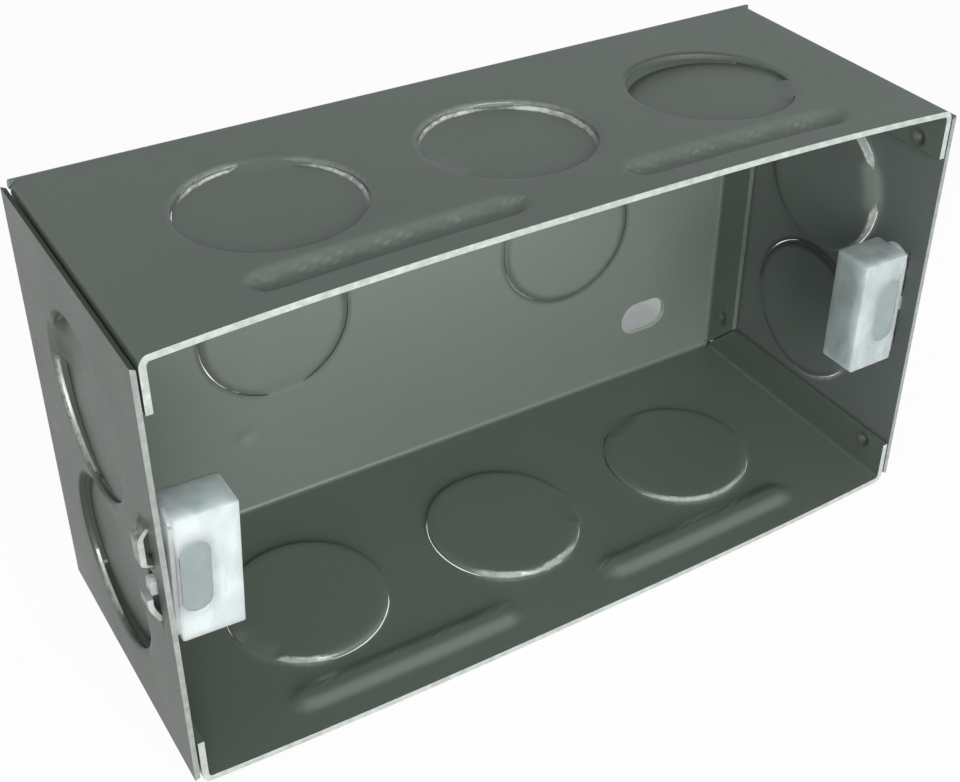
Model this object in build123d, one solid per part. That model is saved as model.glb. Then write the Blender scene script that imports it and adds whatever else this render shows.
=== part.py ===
from build123d import *
import math
import os

# A concealed wall box for modular switches, lying on one long side.
# X runs along the box, Y runs into it from the open front, Z is up.

# Overall sizes
width = 135.0              # over the two end plates
height = 75.0              # over the folded body, at its corners
depth = 52.2               # front edges to the outside of the back
top_bow = 1.8              # how far the free front edge of the top has sprung up
bottom_bow = 1.6           # how far the free front edge of the bottom has sprung down
bow_power = 2.6            # shape of the bow: high over the middle, nothing at the ends
bow_stations = 13          # points that carry each bowed edge

# Folded body
sheet = 1.0                # thickness of the body
fold_radius = 0.8          # inside radius of the two long folds
tab_radius = 0.8           # inside radius where the end tabs turn in
tab_width = 8.5            # from the outside of the panel to the free edge of its tab
mitre_gap = 1.0            # between two tabs at a rear corner

# End plates, spot welded outside the tabs
end_sheet = 0.8            # thickness of an end plate
end_inset = 1.3            # the plate stops this far inside the top and bottom faces
end_back_inset = 0.6       # and this far short of the outside of the back
weld_radius = 1.3          # dimple left by each spot weld
weld_depth = 0.3
weld_inset = 5.0           # from the open front, and from the back, to a weld
weld_side = 6.7            # from the top or bottom face to the weld on its tab
weld_levels = (9.7, 45.5)  # heights of the welds on the back tab

# Knockouts: discs punched inwards that hang on one tie each
knockout_radius = 13.5
knockout_inset = 25.5      # from the front edge to the middle of a knockout
shear_gap = 0.2            # between a disc and its hole
rim_roll = 0.5             # rounding that the punch leaves on the rims
tie_width = 6.0
tie_reach = 2.8            # how far a tie runs onto its disc
tie_root = 0.8             # and onto the panel
side_pitch = 38.0          # between knockouts of a long side
back_pitch = 58.0          # between the two knockouts of the back
end_pitch = 28.0           # between the two knockouts of an end plate

# How each disc hangs: direction of its tie in degrees, drop at the tie, drop opposite
top_ties = ((72.0, 0.9, 1.2), (190.0, 0.9, 1.3), (-30.0, 0.8, 2.6))       # from the left
bottom_ties = ((72.0, 0.7, 0.9), (190.0, 0.9, 1.2), (-30.0, 0.9, 1.6))    # from the right
back_ties = ((85.0, 0.25, 0.6), (-95.0, 0.25, 0.6))                       # right, then left
left_end_ties = ((20.0, 2.3, 0.6), (204.0, 2.2, 1.5))                     # upper, then lower
right_end_ties = ((163.0, 2.3, 0.8), (-18.0, 0.9, 1.2))

# Stiffening beads near the free edges of the long sides
bead_length = 40.0
bead_width = 5.0
bead_depth = 1.4
bead_pitch = 58.0
bead_inset = 6.6           # from the front edge to the middle of a bead

# Screw slots and pilot marks in the back
slot_length = 10.2
slot_width = 6.6
slot_x = 48.2              # from the middle of the back
slot_z = 23.8
pilot_radius = 1.2
pilot_depth = 0.35
pilot_x = 36.1
pilot_z = 20.5

# Two lanced straps in each end plate carry a nut holder: a bridge above, a hook below
strap_front = 3.6          # from the front edge to the straps
strap_width = 2.6
strap_rise = 1.55          # the straps are pressed this far outwards
slit = 0.3                 # beside each strap
bridge_low = 0.2           # from the middle of the holder up to the bridge's lower end
bridge_length = 7.7
bridge_ramp = 2.6          # height of its upper slope
bridge_return = 0.9        # and of its lower one
hook_low = -10.5           # from the middle of the holder down to the root of the hook
hook_length = 5.6          # from its root to its free end
hook_ramp = 4.4               # height of its slope
window_height = 3.8        # opening above the free end of the hook

# Nut holders, moulded in clear plastic
holder_rise = 1.9          # middle of a holder above the middle of the box
block_width = 9.0
block_depth = 7.2
block_height = 20.6
block_round = 0.35
front_wall = 1.4
nut_room_width = 5.6
nut_room_height = 13.4
nut_lip = 0.6              # snap lips that keep the nut in from behind
screw_slot_width = 4.4
screw_slot_length = 11.9
screw_slot_inset = 2.6     # middle of the slot from the block's outer side
flange = 0.6               # ear plate on the outer side of the block
flange_inset = 0.5
flange_width = 5.7
flange_height = 18.6
flange_cut = 0.5           # saw cut across the ear
flange_cut_depth = 3.0
flange_cut_rise = 0.7      # the cut lies this far above the foot of the ear's rounded top
foot_gap = 0.3             # between a foot and the slot that it passes through
foot_height = 2.2
foot_seat = 0.2            # between the lower foot of the left holder and the free end of the hook
hook_foot_reach = 1.0      # how far the lower foot stands out of the end plate
bridge_foot_level = 2.2    # from the lower end of the bridge up to the upper foot
left_float = 0.05          # gap between the ear and the end plate, at its closest
left_lean = 2.8            # the left holder leans this far, in degrees
left_drop = 0.5            # and sits this far lower
right_float = 3.7

# Captive nuts
nut_width = 5.0
nut_height = 6.0
nut_thickness = 2.4
nut_drop = 3.5             # the nuts lie low in their rooms, this far below the holder's middle
thread_radius = 1.45       # crest of an M3.5 thread

# Worked out from the sizes above
half = width / 2 - end_sheet            # outside of the tabs
front = -depth / 2
back = depth / 2
middle = height / 2
holder_middle = middle + holder_rise
fold_outer = fold_radius + sheet
tab_outer = tab_radius + sheet
panel_end = half - tab_outer            # where the tabs start to turn
panel_rear = back - fold_outer          # where the long folds start
knockout_y = front + knockout_inset
lift = bottom_bow                       # the lowest point of the bottom lies at zero


def slab(x0, x1, y0, y1, z0, z1):
    """A plain block between two corners."""
    return Pos((x0 + x1) / 2, (y0 + y1) / 2, (z0 + z1) / 2) * Box(x1 - x0, y1 - y0, z1 - z0)


def bow_share(x):
    """Share of the bow at a place along the box: one in the middle, nothing at the ends."""
    return 1 - (abs(x) / panel_end) ** bow_power


def rise(x, y, bow):
    """How far a bowed panel stands off its flat place."""
    return bow * bow_share(x) * (panel_rear - y) / (panel_rear - front)


def panel_edge(bow, level):
    """The curved line of a panel's free edge, at one level of the sheet."""
    step = 2 * panel_end / (bow_stations - 1)
    places = [-panel_end + step * i for i in range(bow_stations)]
    return Spline([(x, front, level + bow * bow_share(x)) for x in places])


def bowed_panel(bow, outside, inside):
    """A panel that is straight at its fold and bowed at its free edge, between two levels."""
    upper, lower = panel_edge(bow, outside), panel_edge(bow, inside)
    free_edge = make_face([upper, Line(upper @ 1, lower @ 1), lower, Line(lower @ 0, upper @ 0)])
    corners = [(-panel_end, outside), (panel_end, outside), (panel_end, inside), (-panel_end, inside)]
    fold_edge = make_face(Polyline([(x, panel_rear, z) for x, z in corners], close=True))
    return loft([free_edge, fold_edge], ruled=True)


def quarter_fold(inner, length):
    """A quarter ring of sheet along Z, about the origin, in the first quadrant."""
    ring = Circle(inner + sheet) - Circle(inner)
    quarter = ring & Pos(inner + sheet, inner + sheet) * Rectangle(2 * (inner + sheet), 2 * (inner + sheet))
    return extrude(quarter, amount=length / 2, both=True)


def long_fold(outside_up):
    """The fold between the back and a long side."""
    fold = Rot(0, 90, 0) * quarter_fold(fold_radius, 2 * panel_end)
    if outside_up:
        return Pos(0, panel_rear, height - fold_outer) * Rot(90, 0, 0) * fold
    return Pos(0, panel_rear, fold_outer) * fold


def weld_mark(y, z):
    """Ball that leaves the dimple of a spot weld on the inside of a right-hand tab."""
    ball = (weld_radius ** 2 + weld_depth ** 2) / (2 * weld_depth)
    away = Rot(0, 0, 180)                  # keeps the seam of the ball out of the dimple
    return Pos(half - sheet - ball + weld_depth, y, z) * away * Sphere(ball)


def side_tab():
    """The tab that the top turns down at the right end, mitred at the rear corner."""
    top, low = height - tab_outer, height - tab_width
    rear, rear_low = panel_rear - mitre_gap / 2, back - tab_width - mitre_gap / 2
    bend = Rot(90, 0, 0) * quarter_fold(tab_radius, rear - front)
    bend = Pos(panel_end, (front + rear) / 2, top) * bend
    outline = [(front, top), (rear, top), (rear_low, low), (front, low)]
    leg = make_face(Polyline([(half - sheet, y, z) for y, z in outline], close=True))
    leg = extrude(leg, amount=sheet, dir=(1, 0, 0))
    return bend + (leg - weld_mark(front + weld_inset, height - weld_side))


def back_tab():
    """The tab that the back turns forward at the right end, mitred at both ends."""
    near, far = back - tab_outer, back - tab_width
    low, low_far = fold_outer + mitre_gap / 2, tab_width + mitre_gap / 2
    bend = Pos(panel_end, near, middle) * quarter_fold(tab_radius, height - 2 * low)
    outline = [(near, low), (near, height - low), (far, height - low_far), (far, low_far)]
    leg = make_face(Polyline([(half - sheet, y, z) for y, z in outline], close=True))
    leg = extrude(leg, amount=sheet, dir=(1, 0, 0))
    for level in weld_levels:
        leg -= weld_mark(back - weld_inset, level)
    return bend + leg


def knockout(tie_angle, near_drop, far_drop, thickness):
    """Cutter and filling of one knockout, about the middle of its outer face, outside up.

    The disc lies near_drop below the face at its tie and far_drop below it opposite."""
    drop = (near_drop + far_drop) / 2
    slope = (far_drop - near_drop) / (2 * knockout_radius)
    hole = Cylinder(knockout_radius, 4 * thickness)
    roll = Pos(0, 0, -rim_roll / 2) * Cone(knockout_radius, knockout_radius + rim_roll, rim_roll)
    disc = Pos(0, 0, -thickness / 2) * Cylinder(knockout_radius - shear_gap, thickness)
    disc = chamfer(disc.edges().group_by(Axis.Z)[0], rim_roll / 2)
    disc = Pos(0, 0, -drop) * Rot(0, -math.degrees(math.atan(slope)), 0) * disc
    root = knockout_radius + tie_root
    tip = knockout_radius - tie_reach
    tip_level = -drop + slope * tip
    sections = []
    for reach, level in ((root, 0.0), (tip, tip_level)):
        corners = [(-tie_width / 2, level), (tie_width / 2, level)]
        corners += [(tie_width / 2, level - thickness), (-tie_width / 2, level - thickness)]
        sections.append(make_face(Polyline([(reach, y, z) for y, z in corners], close=True)))
    tie = loft(sections, ruled=True)
    turn = Rot(0, 0, tie_angle)
    return hole + roll, turn * (disc + tie)


def surface_place(x, y, bow):
    """Frame on the outer face of the top, tilted to follow its bow."""
    step = 1.0
    along = rise(x + step, y, bow) - rise(x - step, y, bow)
    across = rise(x, y + step, bow) - rise(x, y - step, bow)
    normal = Vector(-along / (2 * step), -across / (2 * step), 1)
    return Plane(origin=(x, y, height + rise(x, y, bow)), x_dir=(1, 0, along / (2 * step)), z_dir=normal)


def bead(x, bow):
    """Cutter and raised skin of one bead, pressed inwards along the bowed panel."""
    inner = (bead_width ** 2 / 4 + bead_depth ** 2) / (2 * bead_depth)
    y = front + bead_inset
    reach = bead_length / 2 - bead_width / 2
    ends = [(end, y, height + rise(end, y, bow)) for end in (x - reach, x + reach)]
    start, stop = Vector(*ends[0]), Vector(*ends[1])
    run = (stop - start).length
    place = Plane(origin=(start + stop) / 2, x_dir=(0, 1, 0), z_dir=stop - start)

    def capsule(radius):
        ball = Sphere(radius)
        return place * (Cylinder(radius, run) + Pos(0, 0, run / 2) * ball + Pos(0, 0, -run / 2) * ball)

    raise_axis = Pos(0, 0, inner - bead_depth)
    skin = (raise_axis * capsule(inner + sheet)) & bowed_panel(bow, height, height - bead_depth - 3 * sheet)
    return raise_axis * capsule(inner), skin


def side_panel(bow, ties):
    """The top panel with its knockouts and beads."""
    panel = bowed_panel(bow, height, height - sheet)
    for x in (-bead_pitch / 2, bead_pitch / 2):
        groove, skin = bead(x, bow)
        panel = panel + skin - groove
    for index, (tie_angle, near_drop, far_drop) in enumerate(ties):
        place = surface_place((index - 1) * side_pitch, knockout_y, bow)
        hole, filling = knockout(tie_angle, near_drop, far_drop, sheet)
        panel = panel - place * hole + place * filling
    return panel


def back_place(x, z):
    """Frame on the outside of the back, looking outwards."""
    return Plane(origin=(x, back, z), x_dir=(-1, 0, 0), z_dir=(0, 1, 0))


def back_panel():
    """The back with two knockouts, two screw slots and two pilot marks."""
    panel = slab(-panel_end, panel_end, back - sheet, back, fold_outer, height - fold_outer)
    for side, (tie_angle, near_drop, far_drop) in zip((1, -1), back_ties):
        hole, filling = knockout(tie_angle, near_drop, far_drop, sheet)
        place = back_place(side * back_pitch / 2, middle)
        panel = panel - place * hole + place * filling
        slot = extrude(SlotOverall(slot_length, slot_width), amount=2 * sheet, both=True)
        panel -= back_place(side * slot_x, middle - side * slot_z) * slot
        pilot = back_place(-side * pilot_x, middle - side * pilot_z) * Pos(0, 0, -sheet)
        panel -= pilot * Cylinder(pilot_radius, 2 * pilot_depth)
    return panel


def box_body():
    """The folded body: top, back and bottom from one sheet, with three tabs at each end."""
    turn = Pos(0, 0, height) * Rot(0, 180, 0)         # from the top to the bottom, half a turn about Y
    body = side_panel(top_bow, top_ties) + turn * side_panel(bottom_bow, bottom_ties)
    body = body + back_panel() + long_fold(True) + long_fold(False)
    for tab in (side_tab(), turn * side_tab().mirror(Plane.YZ), back_tab()):
        body = body + tab + tab.mirror(Plane.YZ)
    return body


def strap(outline):
    """One strap of the right end plate, bent along an outline of offsets and heights."""
    outer = [(width / 2 + offset, z) for offset, z in outline]
    inner = [(half + offset, z) for offset, z in reversed(outline)]
    side = make_face(Polyline([(x, front + strap_front, z) for x, z in outer + inner], close=True))
    return extrude(side, amount=strap_width, dir=(0, 1, 0))


def bridge(low):
    """The upper strap, joined to the plate at both ends, above a height."""
    top = low + bridge_length
    outline = [(0, low), (strap_rise, low + bridge_return), (strap_rise, top - bridge_ramp), (0, top)]
    return strap(outline)


def hook(low):
    """The lower strap, joined to the plate at its lower end and free at its upper end."""
    return strap([(0, low), (strap_rise, low + hook_ramp), (strap_rise, low + hook_length)])


def end_plate(ties):
    """The right end plate with its knockouts, straps and windows."""
    x0, x1 = half, width / 2
    plate = slab(x0, x1, front, back - end_back_inset, end_inset, height - end_inset)
    levels = (middle + end_pitch / 2, middle - end_pitch / 2)
    for z, (tie_angle, near_drop, far_drop) in zip(levels, ties):
        place = Plane(origin=(x1, knockout_y, z), x_dir=(0, 1, 0), z_dir=(1, 0, 0))
        hole, filling = knockout(tie_angle, near_drop, far_drop, end_sheet)
        plate = plate - place * hole + place * filling
    slot_y0, slot_y1 = front + strap_front - slit, front + strap_front + strap_width + slit
    bridge_z, hook_z = holder_middle + bridge_low, holder_middle + hook_low
    hook_top = hook_z + hook_length + window_height
    plate -= slab(x0, x1, slot_y0, slot_y1, bridge_z, bridge_z + bridge_length)
    plate -= slab(x0, x1, slot_y0, slot_y1, hook_z, hook_top)
    return plate + bridge(bridge_z) + hook(hook_z)


def nut_holder(float_gap):
    """The right nut holder: a block with a room for the nut, an ear plate and two feet."""
    side = half - float_gap - flange           # outer side of the block
    rear = front + block_depth
    mid = holder_middle
    block = slab(side - block_width, side, front, rear, mid - block_height / 2, mid + block_height / 2)
    holder = fillet(block.edges().filter_by(Axis.Z), block_round)
    ear_y0, ear_y1 = front + flange_inset, front + flange_inset + flange_width
    ear_low = mid - flange_height / 2
    ear_round = flange_width / 2
    ear_top = mid + block_height / 2 + flange_inset - ear_round
    holder += slab(side, side + flange, ear_y0, ear_y1, ear_low, ear_top)
    crown = Pos(side + flange / 2, ear_y0 + ear_round, ear_top) * Rot(0, 90, 0) * Cylinder(ear_round, flange)
    holder += crown
    cut_z = ear_top + flange_cut_rise
    holder -= slab(side, side + flange, ear_y0, ear_y0 + flange_cut_depth, cut_z, cut_z + flange_cut)
    room_z0, room_z1 = mid - nut_room_height / 2, mid + nut_room_height / 2
    wall = front + front_wall
    holder -= slab(side - nut_room_width, side, wall, rear - nut_lip, room_z0, room_z1)
    holder -= slab(side - nut_room_width, side, rear - nut_lip, rear, room_z0 + nut_lip, room_z1 - nut_lip)
    slot = extrude(SlotOverall(screw_slot_length, screw_slot_width), amount=front_wall)
    mouth = Plane(origin=(side - screw_slot_inset, wall, mid), x_dir=(0, 0, 1), z_dir=(0, -1, 0))
    holder -= mouth * slot
    foot_y0 = front + strap_front + foot_gap
    foot_y1 = front + strap_front + strap_width - foot_gap
    upper = mid + bridge_low + bridge_foot_level
    lower = mid + hook_low + hook_length + left_drop + foot_seat
    holder += slab(side, half + foot_gap, foot_y0, foot_y1, upper, upper + foot_height)
    holder += slab(side, width / 2 + hook_foot_reach, foot_y0, foot_y1, lower, lower + foot_height)
    return holder


def nut(float_gap, level):
    """The right captive nut, square, behind the front wall of its holder, at a height."""
    x = half - float_gap - flange - screw_slot_inset
    y = front + front_wall
    place = Pos(x, y + nut_thickness / 2, level) * Rot(90, 0, 0)
    return place * (Box(nut_width, nut_height, nut_thickness) - Cylinder(thread_radius, nut_thickness))


def lean(piece):
    """The left holder or its nut, turned about the lower outer corner of its ear and let down."""
    corner = (-half + left_float, 0, holder_middle - flange_height / 2)
    return Pos(0, 0, -left_drop) * Pos(*corner) * Rot(0, left_lean, 0) * Pos(*[-v for v in corner]) * piece


def level_before_lean(level):
    """Height in the upright left holder of the place in its slot that the lean takes to a height."""
    turn = math.radians(left_lean)
    corner = holder_middle - flange_height / 2
    inset = flange + screw_slot_inset
    return corner + (level + left_drop - corner + inset * math.sin(turn)) / math.cos(turn)


def parts():
    """Every piece by name."""
    nut_level = holder_middle - nut_drop
    return {
        "box_body": box_body(),
        "left_end_plate": end_plate(left_end_ties).mirror(Plane.YZ),
        "right_end_plate": end_plate(right_end_ties),
        "left_nut_holder": lean(nut_holder(left_float).mirror(Plane.YZ)),
        "right_nut_holder": nut_holder(right_float),
        "left_nut": lean(nut(left_float, level_before_lean(nut_level)).mirror(Plane.YZ)),
        "right_nut": nut(right_float, nut_level),
    }


os.makedirs("parts", exist_ok=True)
for name, piece in parts().items():
    export_step(Pos(0, 0, lift) * piece, f"parts/{name}.step")
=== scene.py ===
import math

import bmesh
import bpy
import numpy as np
from mathutils import Matrix, Vector


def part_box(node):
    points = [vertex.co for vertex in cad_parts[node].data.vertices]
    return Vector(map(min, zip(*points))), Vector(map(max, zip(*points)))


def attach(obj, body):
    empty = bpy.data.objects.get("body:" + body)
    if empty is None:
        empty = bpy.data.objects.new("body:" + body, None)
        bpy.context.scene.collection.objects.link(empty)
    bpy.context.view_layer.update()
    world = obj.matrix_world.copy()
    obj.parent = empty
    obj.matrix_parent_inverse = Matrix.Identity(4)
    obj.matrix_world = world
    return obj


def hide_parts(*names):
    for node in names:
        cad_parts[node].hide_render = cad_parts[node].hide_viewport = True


# A folded steel wall box with half-sheared knockouts and two plastic nut holders.
# Shapes are worked out in millimetres with the underside of the box at zero, and
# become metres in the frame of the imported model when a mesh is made.

MM = 0.001

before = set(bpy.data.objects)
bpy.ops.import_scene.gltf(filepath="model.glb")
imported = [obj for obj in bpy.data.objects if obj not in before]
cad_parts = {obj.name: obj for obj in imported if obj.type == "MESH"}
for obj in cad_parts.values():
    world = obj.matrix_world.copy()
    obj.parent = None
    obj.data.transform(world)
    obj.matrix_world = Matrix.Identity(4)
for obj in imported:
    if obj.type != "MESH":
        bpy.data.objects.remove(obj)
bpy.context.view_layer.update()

# Bow of the two long sides
TOP_BOW = 1.8
BOTTOM_BOW = 1.6
BOW_POWER = 2.6
LIFT = BOTTOM_BOW

body_low, body_high = (np.array(corner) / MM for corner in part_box("box_body"))
plate_low, plate_high = (np.array(corner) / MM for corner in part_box("right_end_plate"))

# Outline of the folded body and of the end plates, from the frame; the back keeps a hundredth
# of a millimetre free for the bevels
HALF = body_high[0]
FRONT, BACK = body_low[1], body_high[1] - 0.01
HEIGHT = body_high[2] - body_low[2] - TOP_BOW - BOTTOM_BOW
MIDDLE = HEIGHT / 2
PLATE_LOW, PLATE_HIGH = plate_low[2] - LIFT, plate_high[2] - LIFT
PLATE_BACK = plate_high[1]

# Sheet and folds
SHEET = 1.0
FOLD_RADIUS = 0.8
TAB_WIDTH = 8.5
TAB_SEAT = 0.3              # how far the tabs stand inside the end plates
MITRE_GAP = 0.3
FOLD_OUTER = FOLD_RADIUS + SHEET
PANEL_END = HALF - FOLD_OUTER
PANEL_REAR = BACK - FOLD_OUTER
END_SHEET = 0.8
FOLD_STEPS = 6
TAB_ROWS = 17

# Broken edges of the sheets, the holders and the nuts
SHEET_BEVEL, HOLDER_BEVEL, NUT_BEVEL = 0.14, 0.25, 0.2

# Shine that marks an edge as a hole's, and as torn
HOLE_SHINE, TORN_SHINE = 0.02, 0.12

# Spot welds
WELD_RADIUS = 1.5
WELD_DEPTH = 0.4
WELD_INSET = 5.0
WELD_SIDE = 6.7
WELD_LEVELS = (9.7, 45.5)

# Knockouts
KNOCKOUT_RADIUS = 13.5
KNOCKOUT_Y = FRONT + 25.5
SIDE_PITCH = 38.0
BACK_PITCH = 58.0
END_PITCH = 28.0
BLOCK = 15.2               # half the square of sheet that is drawn round a knockout
BACK_BLOCK = 15.5          # the same along the back, where it ends on the nearest grid line
STEP = BLOCK / 14
TIE_HALF = 3.0 / KNOCKOUT_RADIUS              # half of the tie, as an angle
TIE_RUN_OUT = 2.2 / KNOCKOUT_RADIUS           # the angle in which it runs out into the cut
RISE_OUTSIDE, RISE_INSIDE = 1.5, 3.2          # reach of its slope on both sides of the cut
ROLL_DEPTH, ROLL_REACH = 0.42, 1.0            # rounding of the hole's outer rim
SHOULDER_DEPTH, SHOULDER_REACH = 0.5, 1.8     # rounding of the disc's inner rim
GAP = 0.05                                    # the cut where it is narrowest

# Rings of a knockout, as distances from the cut: in the sheet outside it and in the disc
SHEET_RINGS = (1.6, 1.2, 0.95, 0.75, 0.57, 0.42, 0.29, 0.18, 0.09, 0.03, 0.0)
DISC_RINGS = (0.0, 0.04, 0.1, 0.2, 0.32, 0.45, 0.6, 0.8, 1.0, 1.3, 1.8, 2.4, 3.2, 6.0, 9.5, 13.5)

# Beads
BEAD_LENGTH = 40.0
BEAD_DEPTH = 1.4
BEAD_PITCH = 58.0
BEAD_INSET = 6.9
BEAD_HALF = 3.1

# Back slots and pilot marks
SLOT_LENGTH, SLOT_WIDTH = 10.2, 6.6
SLOT_X, SLOT_Z = 48.2, 23.8
SLOT_BLOCK_X, SLOT_BLOCK_Z = 6.6, 4.6
SLOT_RINGS = (1.0, 0.5, 0.3, 0.15, 0.05, 0.0)
SLOT_ROLL, SLOT_ROLL_REACH = 0.2, 0.35
PILOT_RADIUS, PILOT_DEPTH = 1.2, 0.35
PILOT_X, PILOT_Z = 36.1, 20.5

# Straps of the end plates
HOLDER_MIDDLE = MIDDLE + 1.9
STRAP_Y = FRONT + 3.6
STRAP_WIDTH = 2.6
STRAP_RISE = 1.55
SLIT = 0.3
BRIDGE_LOW = HOLDER_MIDDLE + 0.2
BRIDGE_HIGH = BRIDGE_LOW + 7.7
HOOK_LOW = HOLDER_MIDDLE - 10.5
HOOK_HIGH = HOOK_LOW + 5.6
WINDOW_HIGH = HOOK_HIGH + 3.8
BRIDGE_RAMP_HIGH, BRIDGE_RAMP_LOW, HOOK_RAMP = 2.6, 1.1, 4.6
STRAP_ROWS = 29
SHEAR_SLANT = 0.4           # how far the plate's inner face stops short at its ends

# Nut holders: the ear on their outer side, the lean of the left one and the skins in their slots
EAR_SHEET, EAR_HEIGHT = 0.6, 18.6
LEFT_FLOAT, LEFT_LEAN, LEFT_DROP = 0.05, 2.8, 0.5
RIGHT_FLOAT = 3.7
SKIN_LENGTH, SKIN_WIDTH, SKIN_SHEET = 11.8, 4.3, 0.3
SKIN_INSET, SKIN_RECESS, SKIN_EDGE = 2.6, 0.45, 0.05
SKIN_STEPS = 48


def smooth(t):
    """Smooth step: 3t^2 - 2t^3 between nought and one, flat beyond."""
    t = np.clip(t, 0, 1)
    return t * t * (3 - 2 * t)


def lines(breaks, step):
    """Grid lines that pass through every break and lie at most one step apart."""
    parts = [np.array(breaks[:1], float)]
    for low, high in zip(breaks[:-1], breaks[1:]):
        count = max(1, int(math.ceil((high - low) / step - 1e-6)))
        parts.append(np.linspace(low, high, count + 1)[1:])
    return np.concatenate(parts)


def wave(angle, seed, terms, first):
    """Noise round a circle: a sum of cosines of rising order with random phases."""
    random = np.random.default_rng(seed)
    order = np.arange(first, first + terms)
    phase = random.uniform(0, 2 * np.pi, terms)
    size = random.uniform(0.4, 1.0, terms) / np.sqrt(terms)
    return (size * np.cos(order * angle[:, None] + phase)).sum(1)


def quarter_round(x, reach):
    """Drop of a quarter ellipse: one at nought, nothing from the reach on."""
    return 1 - np.sqrt(1 - np.clip(1 - x / reach, 0, 1) ** 2)


def bell(x, width):
    """Bell: the exponential of minus the square of x over the width."""
    return np.exp(-(x / width) ** 2)


def turn_from(angle, degrees):
    """Turn from a direction in degrees to an angle, between minus and plus half a circle."""
    return (angle - math.radians(degrees) + np.pi) % (2 * np.pi) - np.pi


def grid_quads(rows, columns):
    """Corners of every cell of a grid, as an array of rows - 1 by columns - 1 by four."""
    i, j = np.meshgrid(np.arange(rows - 1), np.arange(columns - 1), indexing="ij")
    a = i * columns + j
    return np.stack([a, a + columns, a + columns + 1, a + 1], -1)


def ring_quads(rings, around, skip=()):
    """Cells between closed rings that run inwards, without the gaps named in skip."""
    j = np.arange(around)
    nxt = (j + 1) % around
    strip = np.stack([j, nxt, around + nxt, around + j], -1)
    return np.concatenate([strip + k * around for k in range(rings - 1) if k not in skip])


def flat_sheet(u, v, relief=None, blocks=()):
    """A flat panel over the grid of u and v, as places, two offsets and cells.

    relief gives the outward offset of both faces and the shine at a place. A block is a
    rectangle of whole cells that is left out and filled by its own function of its rim."""
    uu, vv = np.meshgrid(u, v, indexing="ij")
    place = np.stack([uu.ravel(), vv.ravel()], -1)
    offset = np.zeros((len(place), 3))
    if relief:
        offset[:] = relief(place)
    cells = grid_quads(len(u), len(v))
    keep = np.ones(cells.shape[:2], bool)
    parts = []
    for (u0, u1, v0, v1), fill in blocks:
        i0, i1 = (int(np.abs(u - value).argmin()) for value in (u0, u1))
        j0, j1 = (int(np.abs(v - value).argmin()) for value in (v0, v1))
        keep[i0:i1, j0:j1] = False
        i, j = np.arange(i0, i1), np.arange(j0, j1)
        i_path = np.concatenate([i, np.full(len(j), i1), i[::-1] + 1, np.full(len(j), i0)])
        j_path = np.concatenate([np.full(len(i), j0), j, np.full(len(i), j1), j[::-1] + 1])
        if fill:
            parts.append(fill(place[i_path * len(v) + j_path]))
    parts.insert(0, (place, offset, cells[keep]))
    return join_flat(parts)


def join_flat(parts):
    """Several flat patches put end to end in one list of places, offsets and cells."""
    places, offsets, cells = zip(*parts)
    start = np.cumsum([0] + [len(place) for place in places])
    shifted = [corners + first for corners, first in zip(cells, start)]
    return np.concatenate(places), np.concatenate(offsets), np.concatenate(shifted)


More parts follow.
